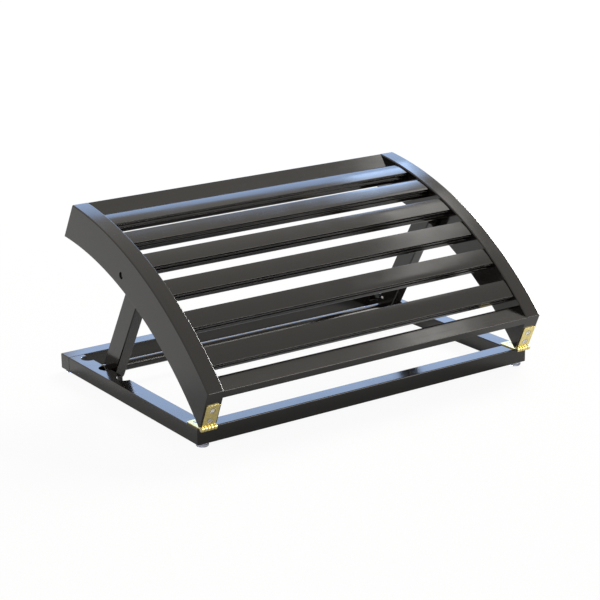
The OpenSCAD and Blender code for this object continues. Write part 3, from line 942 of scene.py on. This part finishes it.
def makeMiddleSlats():
    edge = groovedEdge(slat["crown"])
    bm = barFromSection(slatTop() + edge + flipped(edge), -inner, inner)
    stock = makeObject("slatStock", bm, slatMaterial, isStock=True)
    stock.data.attributes.remove(stock.data.attributes["lot"])
    row = grow("middleSlats", slatRowTree(), {
        "Stock": stock, "Finish": slatMaterial, "Count": slat["count"], "Seed": slat["seed"],
        "Curve Centre": toFrame(0, *centre), "Rear Angle": math.radians(angleOf(rearTop)),
        "Top Radius": slatRadius * mm, "First": slat["first"] * mm, "Pitch": slatPitch * mm,
        "Growth": slat["growth"] * mm,
    })
    bpy.data.objects.remove(stock)
    return row


def makeEndSlat(name, corner, lean, bevel, isRear, lot):
    edge = plainEdge(bevel) + flipped(groovedEdge(slat["endDrop"]))
    section = [(y + slat["width"] / 2, z) for y, z in edge]
    bm = barFromSection(flipped(section) if isRear else section, -inner, inner)
    return makeObject(name, moved(bm, 0, *corner, tilt=lean), slatMaterial, lot=lot)


middleNodes = ["slat_%d" % (n + 2) for n in range(slat["count"])]
attach(makeMiddleSlats(), "platform", *middleNodes)
frontSlat = makeEndSlat("frontSlat", frontTop, frontLean, slat["frontBevel"], False, 7.3)
rearSlat = makeEndSlat("rearSlat", rearTop, rearLean, slat["rearBevel"], True, 8.1)
attach(frontSlat, "platform", "slat_8_front")
attach(rearSlat, "platform", "slat_1_rear")
print("slats made")


# Strut

strut = {
    "pegY": 228.5,
    "pegZ": 15.5,
    "pegRadius": 6,
    "pegEnd": 210.5,
    "pegSoft": 1.0,
    "legWidth": 25.6,
    "legThickness": 14.2,
    "legOuter": 202.4,
    "legChamfer": 1,
    "legSoft": 0.2,
    "spacer": 2.4,
    "spacerRim": 3,
    "spacerSoft": 0.25,
}
strutRun = (strut["pegY"] - pivotPoint[0], strut["pegZ"] - pivotPoint[1])
strutLength = math.hypot(*strutRun)
strutTurn = math.degrees(math.atan2(strutRun[1], strutRun[0]))
legInner = strut["legOuter"] - strut["legThickness"]


def legOutline(inset):
    r = strut["legWidth"] / 2 - inset
    return arcPoints((0, 0), r, 90, 270, 32) + arcPoints((strutLength, 0), r, -90, 90, 32)


def alongLeg(co):
    y, z = sideView(co, pivotPoint)
    c, s = cosD(strutTurn), sinD(strutTurn)
    return ((y * c + z * s) * mm, (z * c - y * s) * mm, co.x)


def makeLeg(name, leftHand, lot):
    sides = chamferedEnd(strut["legChamfer"], strut["legSoft"])
    rings = [[(legInner + depth, y, z) for y, z in legOutline(inset)] for depth, inset in sides]
    rings += [[(strut["legOuter"] - depth, y, z) for y, z in legOutline(inset)]
              for depth, inset in reversed(sides)]
    bores = [(0, pivot["radius"] + pivot["looseFit"]), (strutLength, strut["pegRadius"] + pivot["tightFit"])]
    bm = combine(loft(rings), [moved(rod(legInner - cutPast, strut["legOuter"] + cutPast, r), 0, y, 0)
                               for y, r in bores])
    moved(bm, 0, *pivotPoint, tilt=strutTurn, mirror=leftHand)
    return makeObject(name, bm, lacquerMaterial, alongLeg, lot)


attach(makeLeg("rightLeg", False, 9.7), "strut", "right_leg")
attach(makeLeg("leftLeg", True, 10.9), "strut", "left_leg")

crossBar = rod(-strut["pegEnd"], strut["pegEnd"], strut["pegRadius"], strut["pegSoft"], steps=64)
moved(crossBar, 0, strut["pegY"], strut["pegZ"])
attach(makeObject("crossDowel", crossBar, dowelMaterial, lot=12.2), "strut", "cross_dowel")

for side, isLeft, lot in (("left", True, 14.0), ("right", False, 13.0)):
    dowel = rod(legInner - pivot["pastLeg"], half - pivot["recess"], pivot["radius"], pivot["soft"])
    moved(dowel, 0, *pivotPoint, mirror=isLeft)
    attach(makeObject(side + "PivotDowel", dowel, dowelMaterial, lot=lot), "platform", side + "_pivot_dowel")
    spacer = ringBead(inner - strut["spacer"], inner, pivot["radius"] + strut["spacerRim"],
                      pivot["radius"] + pivot["tightFit"], strut["spacerSoft"])
    moved(spacer, 0, *pivotPoint, mirror=isLeft)
    attach(makeObject(side + "PivotSpacer", spacer, spacerMaterial), "platform", side + "_pivot_spacer",
           finish="spacer_steel")
print("strut made")


# Hinges: a leaf is a plate with countersinks, rolled into knuckles that share a pin

knuckleLength = (hinge["barrelLength"] + hinge["knuckleGap"]) / hinge["knuckles"] - hinge["knuckleGap"]
knucklePitch = knuckleLength + hinge["knuckleGap"]
leafLow = -hinge["leafOffset"]
leafTop = leafLow + hinge["leafThickness"]
platformTurn = 90 + frontLean


def leafOutline(mine, inset):
    # plate seen from above, notched where the other leaf's knuckles turn
    side, width, r = hinge["leafSide"] + inset, hinge["barrelLength"], hinge["leafCorner"] - inset
    notch, root = hinge["knuckleRadius"] + hinge["knuckleGap"], hinge["bore"] + hinge["knuckleRoot"]
    points = []
    for k in range(hinge["knuckles"]):
        gap, y = (0, root) if k in mine else (hinge["knuckleGap"], notch)
        points += [(max(k * knucklePitch - gap, side), y),
                   (min(k * knucklePitch + knuckleLength + gap, width - side), y)]
    far = hinge["leafLength"] - hinge["leafCorner"]
    return (points + arcPoints((width - side - r, far), r, 0, 90, 8)
            + arcPoints((side + r, far), r, 90, 180, 8))


def makeLeaf(name, mine, turn, leftHand):
    edge = reversed(roundedEnd(hinge["leafEdge"], 3))
    levels = [(leafLow, 0)] + [(leafTop - depth, inset) for depth, inset in edge]
    plate = loft([[(x, y, z) for x, y in leafOutline(mine, inset)] for z, inset in levels])
    hole, wide = hinge["shankHole"], hinge["sinkRadius"]
    under, over = leafLow - hinge["sinkPast"], leafTop + hinge["sinkPast"]
    sink = [(under, 0), (under, hole), (leafLow + hinge["sinkLand"], hole),
            (leafTop - hinge["sinkWall"], wide), (over, wide), (over, 0)]
    plate = combine(plate, [moved(turned(sink, "Z", 48), hinge["barrelLength"] / 2, y, 0)
                            for y in (hinge["screwNear"], hinge["screwFar"])])
    starts = [k * knucklePitch for k in mine]
    beads = [ringBead(start, start + knuckleLength, hinge["knuckleRadius"], hinge["bore"],
                      hinge["knuckleSoft"]) for start in starts]
    bm = combine(plate, beads, "UNION")
    moved(bm, hinge["middle"] - hinge["barrelLength"] / 2, *pin, tilt=turn, mirror=leftHand)
    return makeObject(name, bm, brassMaterial, sharpAngle=35)


for side, isLeft in (("left", True), ("right", False)):
    for body, mine, turn in (("base", (0, 2, 4), 0), ("platform", (1, 3), platformTurn)):
        leaf = makeLeaf(side + body.capitalize() + "Leaf", mine, turn, isLeft)
        attach(leaf, body, "%s_%s_leaf" % (side, body), finish="hinge_brass")

screw = {
    "headRadius": 3.1,
    "headRise": 0.3,
    "headSteps": 6,
    "rim": 0.1,
    "neck": 0.1,
    "shankRadius": 1.3,
    "length": 11,
    "point": 1.6,
    "slotWidth": 0.8,
    "slotDepth": 1.1,
    "count": 4,
    "seeds": {"base": 3, "platform": 8},
}


def makeScrewStock():
    # countersunk screw as it sits in its leaf, head up, from the pin's axis
    r, rise, shank, steps = screw["headRadius"], screw["headRise"], screw["shankRadius"], screw["headSteps"]
    foot = leafLow - screw["length"]
    profile = [(foot - screw["point"], 0), (foot, shank), (leafLow + screw["neck"], shank),
               (leafTop - screw["rim"], r)]
    profile += [(leafTop + rise * (1 - (k / steps) ** 2), r * k / steps) for k in range(steps, -1, -1)]
    w, end = screw["slotWidth"] / 2, r + cutPast
    slot = loft([[(-end, -w, z), (end, -w, z), (end, w, z), (-end, w, z)]
                 for z in (leafTop + rise - screw["slotDepth"], leafTop + cutPast)])
    bm = combine(turned(profile, "Z", 40), [slot])
    return makeObject("screwStock", bm, steelMaterial, isStock=True)


def screwSetTree():
    # two screws on each of two leaves, every slot left at its own angle
    tree, given, result = newStockTree("screwSet", "Pin", "Side", "Near", "Far", "Leaf Turn")
    index = outOf(tree, "GeometryNodeInputIndex")
    hand = calc(tree, "SUBTRACT", product(tree, calc(tree, "MODULO", index, 2.0), 2.0), 1.0)
    row = calc(tree, "FLOOR", calc(tree, "DIVIDE", index, 2.0))
    step = calc(tree, "SUBTRACT", given["Far"], given["Near"])
    reach = total(tree, given["Near"], product(tree, row, step))
    spot = joinXYZ(tree, X=product(tree, hand, given["Side"]), Y=reach)
    tilted = outOf(tree, "ShaderNodeVectorRotate", {"Vector": spot, "Angle": given["Leaf Turn"]},
                   rotation_type="X_AXIS")
    place = vectorCalc(tree, "ADD", tilted, given["Pin"])
    screws = stockOnPoints(tree, given, place, joinXYZ(tree, X=given["Leaf Turn"]))
    driven = joinXYZ(tree, Z=randomNumber(tree, given, math.pi))
    feeds = {"Instances": screws, "Rotation": driven, "Local Space": True}
    return closeTree(tree, given, result, outOf(tree, "GeometryNodeRotateInstances", feeds))


screwStock = makeScrewStock()
screwTree = screwSetTree()
for body, turn in (("base", 0.0), ("platform", math.radians(platformTurn))):
    screws = grow(body + "Screws", screwTree, {
        "Stock": screwStock, "Finish": steelMaterial, "Count": screw["count"], "Seed": screw["seeds"][body],
        "Pin": toFrame(0, *pin), "Leaf Turn": turn, "Side": hinge["middle"] * mm,
        "Near": hinge["screwNear"] * mm, "Far": hinge["screwFar"] * mm,
    })
    attach(screws, body, "left_%s_screws" % body, "right_%s_screws" % body, finish="screw_steel")
bpy.data.objects.remove(screwStock)
print("hinges made")


# The pins, the two leg screws and the hidden dowels stay as the frame gives them

def paint(material, *nodes):
    for name in nodes:
        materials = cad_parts[name].data.materials
        materials.clear()
        materials.append(material)


paint(steelMaterial, "left_hinge_pin", "right_hinge_pin", "left_leg_screw", "right_leg_screw")
paint(bareMaterial, "base_corner_dowels", "slat_dowels")


# Studio

studio = {
    "floorSize": 14.0,
    "floorTone": (0.94, 0.915, 0.86),
    "floorSeenWhite": 0.94,
    "floorMirroredWhite": 0.22,
    "ambient": (0.95, 0.97, 1.0),
    "ambientLevel": 0.42,
    "mirroredSky": (0.98, 0.94, 0.88),
}


def makeFloor():
    # matte under light, pale to the camera and dimmer in mirrored rays, so that it keeps the object's shadow
    bm = bmesh.new()
    s = studio["floorSize"] / 2
    bm.faces.new([bm.verts.new((x, y, 0)) for x, y in ((-s, -s), (s, -s), (s, s), (-s, s))])
    floor = meshObject("studioFloor", bm)
    material, tree = newMaterial("paleFloor")
    tree.nodes.clear()
    matte = outOf(tree, "ShaderNodeBsdfDiffuse", {"Color": studio["floorTone"]})
    glow = outOf(tree, "ShaderNodeEmission", {"Strength": 1.0})
    rays = newNode(tree, "ShaderNodeLightPath").outputs
    seen = product(tree, rays["Is Camera Ray"], studio["floorSeenWhite"])
    mirrored = calc(tree, "MAXIMUM", rays["Is Glossy Ray"], rays["Is Transmission Ray"])
    mirrored = product(tree, mirrored, studio["floorMirroredWhite"])
    share = calc(tree, "MAXIMUM", seen, mirrored)
    mix = outOf(tree, "ShaderNodeMixShader", {0: share, 1: matte, 2: glow})
    newNode(tree, "ShaderNodeOutputMaterial", {"Surface": mix})
    floor.data.materials.append(material)


def makeWorld():
    # white to the camera, a warm white in mirrored rays, and a plain soft level on the object
    world = bpy.data.worlds.new("paleStudio")
    scene.world = world
    world.use_nodes = True
    tree = world.node_tree
    tree.nodes.clear()
    rays = newNode(tree, "ShaderNodeLightPath").outputs
    seen = calc(tree, "MAXIMUM", rays["Is Camera Ray"], rays["Is Glossy Ray"])
    seen = calc(tree, "MAXIMUM", seen, rays["Is Transmission Ray"])
    tint = mixColour(tree, rays["Is Glossy Ray"], (1.0, 1.0, 1.0), studio["mirroredSky"])
    white = outOf(tree, "ShaderNodeBackground", {"Color": tint, "Strength": 1.0})
    ambient = outOf(tree, "ShaderNodeBackground",
                    {"Color": studio["ambient"], "Strength": studio["ambientLevel"]})
    mix = outOf(tree, "ShaderNodeMixShader", {0: seen, 1: ambient, 2: white})
    newNode(tree, "ShaderNodeOutputWorld", {"Surface": mix})


makeFloor()
makeWorld()

# Soft panels round the object; places are in mm, wide runs along the given direction.
panels = {
    "skyPanel": {"place": (1545, 2281, 1300), "aim": (0, 0, 100), "wideAlong": (0.79, -0.61, 0),
                 "wide": 1.45, "high": 1.36, "radiance": 2.4, "tint": (0.27, 0.52, 1.0)},
    "blueStrip": {"place": (870, 830, 925), "aim": (130, 190, 205), "wideAlong": (1, 0, 0),
                  "wide": 0.12, "high": 0.36, "radiance": 4.6, "tint": (0.50, 0.68, 1.0)},
    "whiteStrip": {"place": (900, 260, 1120), "aim": (130, 70, 195), "wideAlong": (1, 0, 0),
                   "wide": 0.12, "high": 0.72, "radiance": 2.3, "tint": (1.0, 0.98, 0.95)},
    "frontPanel": {"place": (1329, -1899, 1037), "aim": (0, 0, 100), "wideAlong": (0.82, 0.57, 0),
                   "wide": 1.2, "high": 1.0, "radiance": 9.0, "tint": (1.0, 0.97, 0.92),
                   "lightsMatte": False},
    "sidePanel": {"place": (2354, 687, 570), "aim": (0, 0, 100), "wideAlong": (0.24, -0.97, 0),
                  "wide": 1.4, "high": 0.8, "radiance": 48.0, "tint": (1.0, 0.99, 0.97),
                  "lightsMatte": False},
    "keyPanel": {"place": (4360, 2330, 4090), "aim": (0, 150, 100), "wideAlong": (0.5, -0.87, 0),
                 "wide": 3.27, "high": 2.6, "radiance": 14.0, "tint": (1.0, 0.99, 0.97), "mirrored": False},
}


def standAt(item, place, across, upright, back):
    # puts a lamp or camera at a place, looking away from its back direction
    turn = Matrix((across, upright, back)).transposed().to_4x4()
    item.matrix_world = Matrix.Translation(toFrame(*place)) @ turn


def makePanel(name, facts):
    light = bpy.data.lights.new(name, "AREA")
    light.shape = "RECTANGLE"
    light.size = facts["wide"]
    light.size_y = facts["high"]
    light.color = facts["tint"]
    light.energy = facts["radiance"] * math.pi * facts["wide"] * facts["high"]
    lamp = newObject(name, light)
    lamp.visible_camera = False
    lamp.visible_glossy = facts.get("mirrored", True)
    lamp.visible_diffuse = facts.get("lightsMatte", True)
    back = (toFrame(*facts["place"]) - toFrame(*facts["aim"])).normalized()
    upright = back.cross(Vector(facts["wideAlong"])).normalized()
    standAt(lamp, facts["place"], upright.cross(back), upright, back)


for name, facts in panels.items():
    makePanel(name, facts)

# Camera, solved from the straight edges and arcs of the object
view = {
    "place": (-1113.4, -1479.5, 690.5),
    "yaw": -34.551,
    "pitch": 17.207,
    "roll": -0.637,
    "lens": 107.16,
    "sensor": 36.0,
    "farClip": 60.0,
}


def makeCamera():
    data = bpy.data.cameras.new("viewCamera")
    data.sensor_width = view["sensor"]
    data.lens = view["lens"]
    data.clip_end = view["farClip"]
    scene.camera = newObject("viewCamera", data)
    yaw, pitch, roll = view["yaw"], view["pitch"], view["roll"]
    back = Vector((sinD(yaw) * cosD(pitch), -cosD(yaw) * cosD(pitch), sinD(pitch)))
    right = Vector((cosD(yaw), sinD(yaw), 0.0))
    up = back.cross(right)
    across = right * cosD(roll) + up * sinD(roll)
    upright = up * cosD(roll) - right * sinD(roll)
    standAt(scene.camera, view["place"], across, upright, back)


makeCamera()
scene.view_settings.view_transform = "Standard"
print("studio and camera set")
